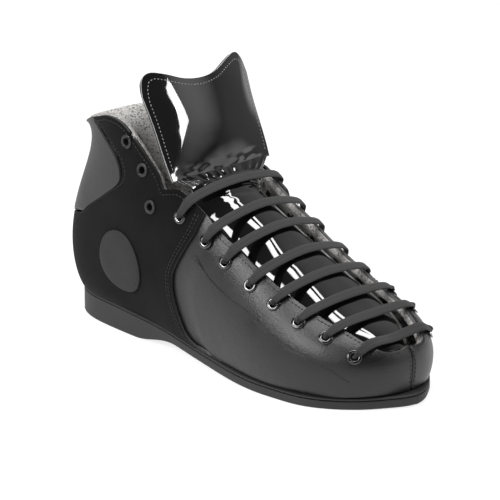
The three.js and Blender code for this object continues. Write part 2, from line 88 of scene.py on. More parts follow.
# The outer face of the upper is a smooth skin over the last: five loops round the foot, with
# stations from the toe (0) down the outer side to the heel (12) and back up the inner side:
# [x, half width on the outer side, half width on the inner side, height].
LOOP = 24
HEEL_STATION = 12
SOLE_LENGTH = 280
SOLE_THICKNESS = 7


def ease(x, start, end):
    t = np.clip((x - start) / (end - start), 0, 1)
    return t * t * (3 - 2 * t)


def sole_top(x):
    return 7 + 10 * ease(x, 66, -104) + ease(x, 112, 140)


FEATHER = [
    [134.5, 0, 0], [128.5, 21, 21], [111, 39, 37.5], [87, 48, 44.5], [58, 50, 44.5],
    [28, 46.5, 37], [-2, 41.5, 29], [-32, 37, 26], [-62, 33.5, 28], [-92, 31, 30],
    [-118, 26, 26], [-133, 15.5, 15.5], [-138, 0, 0],
]
BULGE = [
    [136, 0, 0, 20], [130, 24, 23.5, 20], [112, 42, 40, 20], [87.5, 51.5, 47.5, 20],
    [58, 53, 47, 21], [28, 49, 41, 22], [-2, 44.5, 36, 25], [-32, 41, 34, 28],
    [-62, 38, 34, 31], [-94, 36.5, 35, 34], [-122, 31, 30, 35], [-139, 18, 18, 35],
    [-145, 0, 0, 35],
]
SHOULDER = [
    [134, 0, 0, 33], [127, 23, 22, 33], [108.5, 39, 38, 36], [85, 46, 43.5, 41],
    [57, 46.5, 43.5, 46], [28, 45.5, 43, 52], [-2, 44.5, 42, 58], [-31, 43.5, 41, 63],
    [-61, 42, 40, 66], [-93, 38, 37.5, 68], [-120, 31.5, 31, 69], [-137, 18, 18, 69],
    [-142.5, 0, 0, 69],
]
INSTEP = [
    [124, 0, 0, 41], [119, 13, 12, 42], [104, 23, 23, 47], [82, 26.5, 27, 54.5],
    [57, 29, 30, 65], [29, 32, 33, 77.5], [0, 36, 36.5, 91], [-29, 39, 39, 101],
    [-59, 40, 39.5, 106], [-89, 37, 36.5, 108], [-112, 28.5, 28.5, 106],
    [-124.5, 15.5, 15.5, 104], [-129, 0, 0, 103],
]
COLLAR = [
    [106, 0, 0, 47.5], [103, 0, 0, 48.5], [95, 0, 0, 52], [79, 0, 0, 60], [57, 0, 0, 71],
    [31, 0, 0, 85], [6, 0, 0, 103], [-20, 26, 26, 128], [-55, 38, 38, 140],
    [-88, 37.5, 37, 142], [-113, 30, 30, 134], [-127.5, 16, 16, 125], [-133.5, 0, 0, 122],
]


def spline_of(level):
    through = []
    for k in range(LOOP):
        x, outer, inner, *z = level[k if k <= HEEL_STATION else LOOP - k]
        through.append([x, -outer if k <= HEEL_STATION else inner, z[0] if z else sole_top(x)])
    through = np.array(through, float)
    control = through.copy()
    for sweep in range(40):
        for k in range(LOOP):
            control[k] = (6 * through[k] - control[k - 1] - control[(k + 1) % LOOP]) / 4
    return control


SPLINES = [spline_of(level) for level in (FEATHER, BULGE, SHOULDER, INSTEP, COLLAR)]


def face(s, v):
    s, v = np.broadcast_arrays(np.asarray(s, float), np.asarray(v, float))
    turn = np.mod(s, LOOP)
    k = np.floor(turn).astype(int)
    t = turn - k
    weights = [(1 - t) ** 3, 3 * t ** 3 - 6 * t * t + 4, -3 * t ** 3 + 3 * t * t + 3 * t + 1, t ** 3]
    point = np.zeros(s.shape + (3,))
    for i, control in enumerate(SPLINES):
        share = 1.0
        for j in range(5):
            if j != i:
                share = share * (v * 4 - j) / (i - j)
        for n, weight in enumerate(weights):
            point += (share * weight / 6)[..., None] * control[(k + n - 1) % LOOP]
    return point


def normal_of(point, a, b, step=1e-3):
    turned = np.cross(point(a + step, b) - point(a - step, b), point(a, b + step) - point(a, b - step))
    return turned / np.linalg.norm(turned, axis=-1, keepdims=True)


def outward(s, v):
    return -normal_of(face, s, v)


def skin(s, v, out=0.0):
    s, v = np.asarray(s, float), np.asarray(v, float)
    return face(s, v) + outward(s, v) * np.asarray(out, float)[..., None]


# A smooth function through given [x, y] points.
def curve(points):
    x = np.array([p[0] for p in points], float)
    y = np.array([p[1] for p in points], float)
    before = np.maximum(np.arange(len(x)) - 1, 0)
    after = np.minimum(np.arange(len(x)) + 1, len(x) - 1)
    slope = (y[after] - y[before]) / (x[after] - x[before])

    def height(at):
        i = np.searchsorted(x[1:-1], at, side="left")
        span = x[i + 1] - x[i]
        t = np.clip((at - x[i]) / span, 0, 1)
        rise = t * t * (3 - 2 * t)
        return (y[i] * (1 - rise) + y[i + 1] * rise + slope[i] * span * t * (1 - t) ** 2
                - slope[i + 1] * span * t * t * (1 - t))
    return height


top_line = curve([
    [0, 0.57], [0.33, 0.54], [0.77, 0.55], [1.13, 0.62], [1.77, 0.69], [2.3, 0.7], [3, 0.7],
    [3.77, 0.7], [4.5, 0.71], [5.1, 0.73], [5.8, 0.75], [6.1, 0.77], [6.47, 0.785],
    [6.83, 0.795], [7.07, 0.775], [7.23, 0.765], [7.43, 0.81], [7.83, 0.87], [8.2, 0.925],
    [8.5, 0.97], [8.9, 0.985], [9.4, 0.975], [10.2, 0.985], [11, 1], [12, 1],
])
EYELETS = [
    [1.5, 0.48], [2.3, 0.58], [3.1, 0.585], [3.87, 0.6], [4.57, 0.61], [5.3, 0.635],
    [5.87, 0.665], [6.62, 0.695], [7.47, 0.67], [7.82, 0.8], [8.33, 0.89],
]
VAMP_EYELETS = 7
LACED = 8
QUARTER_PROUD = 0.8
LINING_FACE = -4.9
LACE_DEPTH = -8.7
ridge = curve([
    [-19.8, 109.8], [-8, 104], [6, 97], [31, 82.5], [57, 68.5], [79, 57.5], [95, 50],
    [110, 43], [118, 37.5], [124, 31.5],
])


# A smooth route through points; at counts the points, with fractions between them.
def along_route(points, at):
    i = min(int(at), len(points) - 2)
    t = at - i
    p1, p2 = points[i], points[i + 1]
    p0 = points[i - 1] if i > 0 else 2 * p1 - p2
    p3 = points[i + 2] if i + 2 < len(points) else 2 * p2 - p1
    gap0, gap1, gap2 = (max(np.linalg.norm(b - a) ** 0.5, 1e-4) for a, b in ((p0, p1), (p1, p2), (p2, p3)))
    start = ((p1 - p0) / gap0 - (p2 - p0) / (gap0 + gap1) + (p2 - p1) / gap1) * gap1
    end = ((p2 - p1) / gap1 - (p3 - p1) / (gap1 + gap2) + (p3 - p2) / gap2) * gap1
    rise = t * t * (3 - 2 * t)
    return p1 * (1 - rise) + p2 * rise + start * t * (1 - t) ** 2 - end * t * t * (1 - t)


lace_stops = []


def lace_stop(place, out, width=7.0, thickness=1.2):
    lace_stops.append((np.array(place, float), np.array(out, float), width, thickness))


def lace_inside(s, v, inner):
    station = LOOP - s if inner else s
    lace_stop(skin(station, v, LACE_DEPTH), -outward(station, v), 5)


def lace_through(index, inner, inwards, turn):
    s, v = EYELETS[index]
    station = LOOP - s if inner else s
    proud = 0 if index < VAMP_EYELETS else QUARTER_PROUD
    away = face(station, v - 0.01) - face(station, v + 0.01)
    away = away / np.linalg.norm(away)
    aside = face(station, v) - face(station + (0.01 if inner else -0.01), v)
    aside = aside / np.linalg.norm(aside) * turn
    passage = [
        (proud + 2.1, away), (proud + 0.6, away), (-2.4, away + aside), (-6.7, aside),
        (LACE_DEPTH, aside - outward(station, v)),
    ]
    for depth, out in passage if inwards else passage[::-1]:
        lace_stop(skin(station, v, depth), out, 2.6, 1.5)


LACE_CLIMB = 0.5
STATION_LENGTH = 27


def lace_bar(index, from_inner):
    s, v = EYELETS[index]
    proud = 0 if index < VAMP_EYELETS else QUARTER_PROUD
    edge = face(s, v)
    x = edge[0]
    for sweep in range(8):
        x = edge[0] + LACE_CLIMB * (ridge(x) - edge[2])
    climb = []
    for share, out, width in ((0.35, 2.2, 5.3), (0.95, 2.4, 6.7)):
        station = s
        for sweep in range(8):
            place = face(station, v + (top_line(station) - v) * share)
            ahead = edge[0] + LACE_CLIMB * (place[2] - edge[2]) - place[0]
            station = station - ahead / STATION_LENGTH
        climb.append((station, v + (top_line(station) - v) * share, out + proud, width))
    for inner, steps in ((from_inner, climb), (not from_inner, climb[::-1])):
        for station, height, out, width in steps:
            station = LOOP - station if inner else station
            lace_stop(skin(station, height, out), outward(station, height), width)
        if inner == from_inner:
            lace_stop([x, 0, ridge(x) + 2.3], [0.45, 0, 0.9])


for s, v in [[7.4, 0.46], [6.9, 0.45], [6.2, 0.44], [5.4, 0.43], [4.2, 0.42], [3, 0.42], [2, 0.4]]:
    lace_inside(s, v, False)
for pair in range(LACED):
    from_inner = pair % 2 == 1
    lace_through(pair, from_inner, False, -1 if pair == 0 else 1)
    lace_bar(pair, from_inner)
    lace_through(pair, not from_inner, True, -1)
    if pair < LACED - 1:
        for share in (0.3, 0.7):
            lace_inside(
                EYELETS[pair][0] * (1 - share) + EYELETS[pair + 1][0] * share,
                EYELETS[pair][1] * (1 - share) + EYELETS[pair + 1][1] * share, not from_inner)
for s, v in [[7, 0.64], [7.35, 0.61], [7.75, 0.59]]:
    lace_inside(s, v, False)


# A value in a shader, with arithmetic that adds the Math nodes.
class Value:
    def __init__(self, finish, socket):
        self.finish = finish
        self.socket = socket

    def math(self, operation, first, second):
        return self.finish.node("ShaderNodeMath", {"operation": operation}, {0: first, 1: second})[0]

    def __add__(self, other):
        return self.math("ADD", self, other)

    def __mul__(self, other):
        return self.math("MULTIPLY", self, other)

    def __sub__(self, other):
        return self.math("SUBTRACT", self, other)

    def __rsub__(self, other):
        return self.math("SUBTRACT", other, self)

    __radd__ = __add__
    __rmul__ = __mul__


# A material being made: node() adds any node, with its settings first and then its sockets.
class Finish:
    def __init__(self, name, tree=None):
        if tree is None:
            self.material = bpy.data.materials.new(name)
            self.material.use_nodes = True
            tree = self.material.node_tree
        self.tree = tree
        self.shader = next((n for n in tree.nodes if n.type == "BSDF_PRINCIPLED"), None)

    def node(self, kind, settings=None, sockets=None):
        made = self.tree.nodes.new(kind)
        for key, value in (settings or {}).items():
            if key == "stops":
                for i, (place, colour) in enumerate(value):
                    stops = made.color_ramp.elements
                    stop = stops[i] if i < len(stops) else stops.new(place)
                    stop.position = place
                    stop.color = colour if len(colour) == 4 else (*colour, 1)
            else:
                setattr(made, key, value)
        self.feed(made, sockets or {})
        return [Value(self, out) for out in made.outputs]

    def feed(self, node, sockets):
        for key, value in sockets.items():
            if isinstance(value, Value):
                self.tree.links.new(value.socket, node.inputs[key])
            elif isinstance(value, tuple) and len(value) == 3 and node.inputs[key].type == "RGBA":
                node.inputs[key].default_value = (*value, 1)
            else:
                node.inputs[key].default_value = value

    def where(self):
        return self.node("ShaderNodeTexCoord")[3]

    def cloud(self, scale, detail=4.0, roughness=0.55, at=None):
        sockets = {"Vector": at or self.where(), "Scale": scale, "Detail": detail, "Roughness": roughness}
        return self.node("ShaderNodeTexNoise", {}, sockets)[0]

    def ramp(self, value, stops):
        return self.node("ShaderNodeValToRGB", {"stops": stops}, {0: value})[0]

    def bump(self, height, depth, strength=1.0, under=None):
        sockets = {"Height": height, "Distance": depth, "Strength": strength}
        if under:
            sockets["Normal"] = under
        return self.node("ShaderNodeBump", {}, sockets)[0]

    def done(self, **sockets):
        self.feed(self.shader, {key.replace("_", " "): value for key, value in sockets.items()})
        return self.material


def grey(value, warm=0.0):
    return (value * (1 + warm), value, value * (1 - warm))


def lace_finish():
    finish = Finish("lace_weave")
    uv = finish.node("ShaderNodeTexCoord")[2]
    across, along, _ = finish.node("ShaderNodeSeparateXYZ", {}, {0: uv})
    ribs = finish.node("ShaderNodeMath", {"operation": "SINE"}, {0: along * 8200.0 + across * 30.0})[0]
    cross = finish.node("ShaderNodeMath", {"operation": "SINE"}, {0: along * 8200.0 - across * 30.0})[0]
    weave = ribs * cross * 0.5 + 0.5
    fluff = finish.cloud(3000.0)
    colour = finish.ramp(weave * 0.7 + fluff * 0.4, [
        (0.2, grey(0.007)), (0.85, grey(0.019))])
    return finish.done(Base_Color=colour, Roughness=0.85, Sheen_Weight=0.1, Sheen_Roughness=0.5,
                       Normal=finish.bump(weave + fluff * 0.4, 0.0001))


# A sheet of quads laid by place(a, b), with a and b from 0 to 1, and its own UVs in metres.
def laid(steps_a, steps_b, place, size=(1.0, 1.0)):
    bm = bmesh.new()
    uv = bm.loops.layers.uv.new("UVMap")
    bmesh.ops.create_grid(bm, x_segments=steps_a, y_segments=steps_b, size=0.5, calc_uvs=False)
    shares = np.array([v.co[:2] for v in bm.verts]) + 0.5
    points = to_frame(place(shares[:, 0], shares[:, 1]))
    for f in bm.faces:
        for loop in f.loops:
            a, b = shares[loop.vert.index]
            loop[uv].uv = (a * size[0], b * size[1])
    for v, point in zip(bm.verts, points):
        v.co = point
    return bm


# Closes the seams of a rolled-up sheet and turns its faces outwards.
def closed(bm):
    bmesh.ops.remove_doubles(bm, verts=bm.verts[:], dist=1e-5)
    bmesh.ops.dissolve_degenerate(bm, edges=bm.edges[:], dist=1e-6)
    holes = [e for e in bm.edges if e.is_boundary]
    if holes:
        bmesh.ops.holes_fill(bm, edges=holes, sides=0)
    bmesh.ops.recalc_face_normals(bm, faces=bm.faces[:])
    return bm


def piece(name, bm, materials, body="boot", replaces=(), wall=0.0, edge=0.0):
    mesh = bpy.data.meshes.new(name)
    bm.to_mesh(mesh)
    bm.free()
    mesh.shade_smooth()
    for material in materials:
        mesh.materials.append(material)
    made = bpy.data.objects.new(name, mesh)
    bpy.context.scene.collection.objects.link(made)
    if wall:
        solidify = made.modifiers.new("wall", "SOLIDIFY")
        solidify.thickness = wall
        solidify.offset = -1
        solidify.material_offset_rim = len(materials) - 1
    if edge:
        bevel = made.modifiers.new("edge", "BEVEL")
        bevel.width = edge
        bevel.segments = 2
        bevel.limit_method = "ANGLE"
        bevel.angle_limit = math.radians(50)
    if wall or edge:
        made.modifiers.new("shading", "WEIGHTED_NORMAL")
    if body:
        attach(made, body)
    if replaces:
        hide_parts(*replaces)
    return made


lace_points = [entry[0] for entry in lace_stops]
ROWS_PER_STOP = 7
LACE_STEPS = ROWS_PER_STOP * (len(lace_stops) - 1)
lace_rows = np.array([
    along_route(lace_points, k / ROWS_PER_STOP) for k in range(LACE_STEPS + 1)])
lace_ahead = np.gradient(lace_rows, axis=0)
lace_ahead /= np.linalg.norm(lace_ahead, axis=1, keepdims=True)
lace_length = np.concatenate([[0], np.cumsum(np.linalg.norm(np.diff(lace_rows, axis=0), axis=1))])


def lace_place(a, b):
    row = np.rint(b * LACE_STEPS).astype(int)
    i = np.minimum(row // ROWS_PER_STOP, len(lace_stops) - 2)
    share = row / ROWS_PER_STOP - i
    soft = (share * share * (3 - 2 * share))[:, None]
    out = np.array([entry[1] / np.linalg.norm(entry[1]) for entry in lace_stops])
    size = np.array([entry[2:] for entry in lace_stops])
    out = out[i] * (1 - soft) + out[i + 1] * soft
    width, thick = (size[i] * (1 - soft) + size[i + 1] * soft).T
    ahead = lace_ahead[row]
    out -= ahead * np.sum(out * ahead, axis=1, keepdims=True)
    out /= np.linalg.norm(out, axis=1, keepdims=True)
    aside = np.cross(ahead, out)
    angle = a * 2 * np.pi
    flat = np.sign(np.cos(angle)) * np.abs(np.cos(angle)) ** 0.7
    high = np.sign(np.sin(angle)) * np.abs(np.sin(angle)) ** 0.8
    return (lace_rows[row] + aside * (flat * width / 2)[:, None] + out * (high * thick / 2)[:, None])


lace_material = lace_finish()
lace = closed(laid(20, LACE_STEPS, lace_place, (1.0, lace_length[-1] * 0.001)))
piece("lace_band", lace, [lace_material], replaces=["lace"])

aglet = Finish("aglet_plastic")
aglet_material = aglet.done(
    Base_Color=aglet.ramp(aglet.cloud(400.0), [(0.3, grey(0.006)), (0.7, grey(0.012))]), Roughness=0.25,
    Normal=aglet.bump(aglet.cloud(900.0), 0.00005))
for name in ("aglet_first", "aglet_last"):
    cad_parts[name].material_slots[0].material = aglet_material

# ---- Sole ----
# A moulded rubber unit: a 7 mm flat sole with a low heel under it, cemented to the upper. A fine
# groove runs round the top of its edge, and the underside is plain.
outer_width = curve([
    [math.acos(1 - 2 * d / SOLE_LENGTH), w] for d, w in [
        (0, 0), (10, 20), (28, 29), (60, 34), (100, 37.5), (140, 44.5), (180, 51.5), (205, 52.6),
        (235, 49), (260, 33), (274, 16), (280, 0)]
])
inner_width = curve([
    [math.acos(1 - 2 * d / SOLE_LENGTH), w] for d, w in [
        (0, 0), (10, 20), (28, 28), (60, 32), (100, 28.5), (140, 30), (180, 41), (205, 47.5),
        (235, 45.5), (260, 32), (274, 15.5), (280, 0)]
])
SOLE_HALF_WIDTH = 44
TIP_TURN = 0.004


# section lists one side of the sole's cross-section from the middle below to the middle above:
# [share of the width, inset of the edge, height as a share of thick]. Heights over a half are
# measured down from the top face, the rest up from the bottom face.
def sole_layer(low, high, section, thick, steps=150, inset=0.0):
    half = section + [[-share, drawn, rise] for share, drawn, rise in section[-2:0:-1]]
    ring = np.array(half + [section[0]], float)
    last = math.pi - TIP_TURN

    def place(a, b):
        at = b * (len(ring) - 1)
        share, drawn, rise = (np.interp(at, np.arange(len(ring)), ring[:, n]) for n in range(3))
        turn = TIP_TURN + a * (last - TIP_TURN)
        drawn = drawn + inset
        x = -np.cos(turn) * (SOLE_LENGTH / 2 - drawn)
        half_width = np.where(share > 0, inner_width(turn), outer_width(turn))
        y = half_width * share * (1 - drawn / SOLE_HALF_WIDTH)
        z = np.where(rise > 0.5, high(x) - (1 - rise) * thick, low(x) + rise * thick)
        return np.stack([x, y, z], axis=-1)
    return closed(laid(steps, 4 * (len(ring) - 1), place, (0.28, 0.1)))


rubber = Finish("sole_rubber")
rubber_dust = rubber.cloud(60.0, 6.0)
rubber_grain = rubber.cloud(2600.0, 2.0)
rubber_material = rubber.done(
    Base_Color=rubber.ramp(
        rubber_dust * 0.7 + rubber_grain * 0.3, [(0.3, grey(0.010)), (0.75, grey(0.019))]),
    Roughness=rubber_dust * 0.2 + 0.52, Normal=rubber.bump(rubber_grain, 0.00008))
sole = sole_layer(lambda x: ease(x, -66, -24) * (sole_top(x) - SOLE_THICKNESS), sole_top, [
    [0, 0, 0], [0.97, 0.5, 0], [1, 0.3, 0.05], [1, 0, 0.14], [1, 0, 0.66], [1, 0.1, 0.72], [1, 1.1, 0.75],
    [1, 1.1, 0.82], [1, 0.1, 0.85], [1, 0.05, 0.94], [0.99, 0.5, 1], [0, 0.5, 1],
], SOLE_THICKNESS)
piece("sole_unit", sole, [rubber_material], replaces=["outsole", "heel_lift"])

# ---- Bottom filler, shank and insole board ----
# Between the sole and the foot lie a cork filler under the ball, a steel shank under the arch and
# the pressed fibre board that the upper is lasted to. They are glued in and stay out of sight.
cork = Finish("cork")
cork_speck = cork.cloud(700.0, 6.0)
cork_material = cork.done(
    Base_Color=cork.ramp(cork_speck, [(0.35, (0.10, 0.05, 0.02)), (0.6, (0.32, 0.19, 0.09))]),
    Roughness=0.95, Normal=cork.bump(cork_speck, 0.0003))
steel = Finish("shank_steel")
steel_material = steel.done(
    Base_Color=steel.ramp(steel.cloud(300.0), [(0.3, grey(0.35)), (0.7, grey(0.5))]), Metallic=1.0,
    Roughness=steel.cloud(900.0) * 0.2 + 0.25)
board = Finish("fibre_board")
board_fibre = board.cloud(1400.0, 5.0)
board_material = board.done(
    Base_Color=board.ramp(board_fibre, [(0.3, (0.28, 0.19, 0.11)), (0.7, (0.42, 0.31, 0.19))]),
    Roughness=0.9, Normal=board.bump(board_fibre, 0.0002))
for name, material in (("forefoot_filler", cork_material), ("shank", steel_material),
                       ("insole_board", board_material)):
    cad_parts[name].material_slots[0].material = material

# ---- Footbed ----
# A soft foam bed faced with dark knitted fabric, laid loose over the board inside the boot.
knit = Finish("footbed_knit")
knit_loops = knit.node("ShaderNodeTexVoronoi", {}, {"Vector": knit.where(), "Scale": 900.0})[0]
knit_material = knit.done(
    Base_Color=knit.ramp(knit_loops, [(0.0, grey(0.055)), (0.7, grey(0.02))]), Roughness=0.95,
    Sheen_Weight=0.2, Normal=knit.bump(1 - knit_loops, 0.0004))
footbed = sole_layer(lambda x: sole_top(x) + 4.4, lambda x: sole_top(x) + 7.6, [
    [0, 0, 0], [0.96, 0.4, 0], [1, 0, 0.25], [1, 0, 0.6], [0.97, 0.4, 0.9], [0.9, 0.4, 1], [0, 0.4, 1],
], 3.2, inset=13)
piece("footbed_pad", footbed, [knit_material], replaces=["footbed"])

# ---- Vamp ----
# Two dark charcoal leather halves, closed by a seam down the toe and pulled over the last. Their
# back edges run on under the quarters. The cut edges of the throat are left open.
seam_line = curve([
    [0, 5.5], [0.05, 5.9], [0.11, 6.27], [0.25, 6.57], [0.36, 6.73], [0.44, 6.73], [0.5, 6.6],
    [0.6, 6.33], [0.68, 6.17], [0.8, 6.12],
])
EYELET_CUT = 3.3
LAP = 0.35
LAP_SINK = 1.3


def level(value):
    return lambda at: value + 0 * np.asarray(at, float)


# A panel of the upper: start and finish give its end stations at a height share, low and high its
# edges at a station, and out its face's distance out of the skin.
def panel_place(start, finish, low, high, out, inner):
    def end(line, b):
        s = line(b)
        for sweep in range(6):
            s = line(low(s) + (high(s) - low(s)) * b)
        return s

    def place(a, b):
        share = a if inner else 1 - a
        first = end(start, b)
        s = first + (end(finish, b) - first) * share
        v = low(s) + (high(s) - low(s)) * b
        return skin(LOOP - s if inner else s, v, out(s, v))
    return place


def punched(bm, inner, indices):
    for index in indices:
        s, v = EYELETS[index]
        station = LOOP - s if inner else s
        centre = Vector(to_frame(face(station, v)))
        out = Vector(outward(station, v))
        near = [f for f in bm.faces if (f.calc_center_median() - centre).length < 0.0027]
        bmesh.ops.delete(bm, geom=near, context="FACES")
        for vert in bm.verts:
            offset = vert.co - centre
            flat = offset - out * offset.dot(out)
            if vert.is_boundary and offset.length < 0.0065 and flat.length > 1e-6:
                vert.co = centre + out * offset.dot(out) + flat.normalized() * EYELET_CUT * 0.001
    return bm


def leather_finish(name, dark, light, gloss, grain=1500.0, depth=0.00012):
    finish = Finish(name)
    patches = finish.cloud(42.0, 3.0)
    pores = finish.node("ShaderNodeTexVoronoi", {"feature": "SMOOTH_F1"}, {
        "Vector": finish.where(), "Scale": grain, "Smoothness": 0.6})[0]
    fine = finish.cloud(grain * 1.6, 3.0)
    creases = finish.cloud(170.0, 5.0)
    tone = patches * 0.6 + fine * 0.25 + pores * 0.25
    colour = finish.ramp(tone, [(0.35, grey(dark)), (0.72, grey(light))])
    under = finish.bump(creases, 0.0004, 0.5)
    return finish.done(
        Base_Color=colour, Roughness=patches * 0.24 + pores * 0.12 + gloss,
        Normal=finish.bump(pores + fine * 0.4, depth, 1.0, under))


def edge_finish(name, tone):
    finish = Finish(name)
    fibres = finish.cloud(2200.0, 4.0)
    return finish.done(
        Base_Color=finish.ramp(fibres, [(0.3, grey(tone * 0.6)), (0.7, grey(tone * 1.3))]),
        Roughness=0.85, Normal=finish.bump(fibres, 0.0002))


vamp_material = leather_finish("vamp_leather", 0.004, 0.011, 0.19)
vamp_edge_material = edge_finish("vamp_cut_edge", 0.10)
for side, inner in (("outer", False), ("inner", True)):
    place = panel_place(
        level(0.012), lambda v: seam_line(v) + LAP, level(0.022), top_line,
        lambda s, v: (-LAP_SINK * ease(seam_line(v) + LAP - s, 1.1, 0.6)
                      - 0.5 * ease(s, 0.07, 0.012)), inner)
    vamp = punched(laid(190, 62, place, (0.3, 0.1)), inner, range(VAMP_EYELETS))
    piece("vamp_" + side + "_leather", vamp, [vamp_material, vamp_edge_material],
          replaces=["vamp_" + side], wall=0.0015, edge=0.00035)

# ---- Quarters ----
# Near-black suede panels sewn over the vamp's back edges and run up into the collar. The last
# three eyelet pairs go through them. The front edge is folded in and shows as a paler rim.
back_line = curve([
    [0, 12], [0.4, 12], [0.44, 11.6], [0.475, 10.8], [0.51, 9.95], [0.57, 9.53], [0.64, 8.97],
    [0.71, 8.5], [0.75, 8.43], [0.81, 8.6], [0.87, 9], [0.95, 9.5], [1, 9.55],
])


def back_edge(v):
    return np.minimum(back_line(v), 12) - 0.03


def suede_finish():
    finish = Finish("quarter_suede")
    nap = finish.cloud(1900.0, 6.0, 0.7)
    strokes = finish.cloud(48.0, 4.0)
    colour = finish.ramp(nap * 0.55 + strokes * 0.45, [(0.35, grey(0.0016)), (0.68, grey(0.006))])
    return finish.done(Base_Color=colour, Roughness=0.96, Sheen_Weight=0.04, Sheen_Roughness=0.5,
                       Specular_IOR_Level=0.12,
                       Normal=finish.bump(nap, 0.0003))


suede_material = suede_finish()
suede_edge_material = edge_finish("quarter_folded_edge", 0.035)
for side, inner in (("outer", False), ("inner", True)):
    place = panel_place(seam_line, back_edge, level(0.024), top_line,
                        lambda s, v: QUARTER_PROUD + 0 * s, inner)
    quarter = punched(laid(110, 90, place, (0.16, 0.14)), inner,
                      range(VAMP_EYELETS, len(EYELETS)))
    piece("quarter_" + side + "_suede", quarter, [suede_material, suede_edge_material],
          replaces=["quarter_" + side], wall=0.0015, edge=0.0004)

# ---- Ankle patches ----
# A plain oval leather patch on each side, glued and sewn over the quarter below the ankle.
PATCH_STATION, PATCH_HALF_STATIONS = 8.35, 0.62
PATCH_HEIGHT, PATCH_HALF_HEIGHT = 0.38, 0.14
patch_material = leather_finish("ankle_patch_leather", 0.0022, 0.0052, 0.5)


def patch_place(inner):
    def place(a, b):
        radius = np.clip(b * 1.25, 0, 1)
        angle = a * 2 * np.pi
        rim = np.clip((b - 0.8) / 0.2, 0, 1)
        crown = 0.75 * (1 - radius ** 4) + 0.9
        s = PATCH_STATION + PATCH_HALF_STATIONS * radius * np.cos(angle) * (1 if inner else -1)
        v = PATCH_HEIGHT + PATCH_HALF_HEIGHT * radius * np.sin(angle)
        out = QUARTER_PROUD + np.where(b < 0.8, crown + 0.4, 1.3 - 1.2 * rim)
        return skin(LOOP - s if inner else s, v, out)
    return place


for side, inner in (("outer", False), ("inner", True)):
    patch = laid(72, 24, patch_place(inner), (0.1, 0.03))
    bmesh.ops.remove_doubles(patch, verts=patch.verts[:], dist=1e-5)
    bmesh.ops.dissolve_degenerate(patch, edges=patch.edges[:], dist=1e-6)
    piece("ankle_patch_" + side + "_leather", closed(patch), [patch_material],
          replaces=["ankle_patch_" + side])

# ---- Back panel ----
# Smooth charcoal leather round the back of the ankle, lobed along its lower edge. It stands a
# little proud and laps over the edges of the quarters, so that no gap shows between them.
back_foot = curve([
    [9.9, 0.508], [10.8, 0.466], [11.6, 0.429], [12, 0.391], [12.4, 0.429], [13.2, 0.466],
    [14.1, 0.508],
])


def back_side(v):
    return np.minimum(back_line(v + 0.014) + 0.02, 11.92)


def both_sides(line):
    return lambda s: line(np.minimum(s, LOOP - s))


back_material = leather_finish("back_leather", 0.008, 0.017, 0.34, 2000.0, 0.00006)
back = laid(150, 80, panel_place(
    back_side, lambda v: LOOP - back_side(v), back_foot,
    both_sides(top_line), lambda s, v: QUARTER_PROUD + 0.45 + 0 * s, False), (0.16, 0.09))
piece("back_panel_leather", back, [back_material, suede_edge_material],
      replaces=["back_panel"], wall=0.0015, edge=0.0004)

# ---- Lining ----
# A pale speckled knit glued inside the whole upper. Along the throat and the collar it is turned
# over the edge of the padding, so that it meets the leather's cut edge.
def lining_finish():
    finish = Finish("lining_knit")
    loops = finish.node("ShaderNodeTexVoronoi", {}, {"Vector": finish.where(), "Scale": 1100.0})[0]
    flecks = finish.cloud(800.0, 3.0)
    colour = finish.ramp(flecks, [
        (0.38, grey(0.12, 0.03)), (0.46, grey(0.34, 0.03)), (0.7, grey(0.44, 0.03))])
    return finish.done(Base_Color=colour, Roughness=0.95, Sheen_Weight=0.2,
                       Normal=finish.bump(1 - loops, 0.0003))


lining_material = lining_finish()


def lining_out(s, v):
    foot = 0.42 - 0.14 * ease(s, 1.2, 1.45)
    stuffed = 1 - ease(v, foot, foot + 0.08) * ease(s, 8.8, 8.45)
    turned_over = ease(v, top_line(s) - 0.022, top_line(s) - 0.004)
    return LINING_FACE - 0.9 * stuffed + (3.1 + 0.9 * stuffed) * turned_over


for side, inner in (("outer", False), ("inner", True)):
    place = panel_place(level(0.03), level(11.99), level(0.09), lambda s: top_line(s) - 0.003,
                        lining_out, inner)

    def crowded(a, b, place=place):
        return place(a, 1 - (1 - b) ** 1.6)
    lining = punched(laid(240, 60, crowded, (0.4, 0.1)), inner, range(len(EYELETS)))
    piece("lining_" + side + "_knit", lining, [lining_material],
          replaces=["lining_" + side], wall=0.001)

# ---- Hidden stiffening ----
# A toe puff and a heel counter of thermoplastic board, woven stays behind the eyelet rows and a
# foam roll in the collar, all glued between the leather and the lining.
stiff = Finish("stiffener_board")
stiff_fibre = stiff.cloud(1200.0, 5.0)
stiff_material = stiff.done(
    Base_Color=stiff.ramp(stiff_fibre, [(0.3, (0.14, 0.12, 0.09)), (0.7, (0.22, 0.19, 0.15))]),
    Roughness=0.9, Normal=stiff.bump(stiff_fibre, 0.0002))
stay = Finish("stay_twill")
stay_weave = stay.node("ShaderNodeTexWave", {"bands_direction": "DIAGONAL"}, {
    "Vector": stay.where(), "Scale": 300.0})[1]
stay_material = stay.done(
    Base_Color=stay.ramp(stay_weave, [(0.2, grey(0.012)), (0.8, grey(0.035))]), Roughness=0.95,
    Normal=stay.bump(stay_weave, 0.0002))
foam = Finish("collar_foam")
foam_cells = foam.node("ShaderNodeTexVoronoi", {}, {"Vector": foam.where(), "Scale": 1500.0})[0]
foam_material = foam.done(
    Base_Color=foam.ramp(foam_cells, [(0.0, grey(0.25)), (0.6, grey(0.45))]), Roughness=1.0,
    Normal=foam.bump(foam_cells, 0.0003))
for name, material in (("toe_puff", stiff_material), ("heel_counter", stiff_material),
                       ("eyelet_stay_outer", stay_material), ("eyelet_stay_inner", stay_material),
                       ("collar_padding", foam_material)):
    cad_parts[name].material_slots[0].material = material

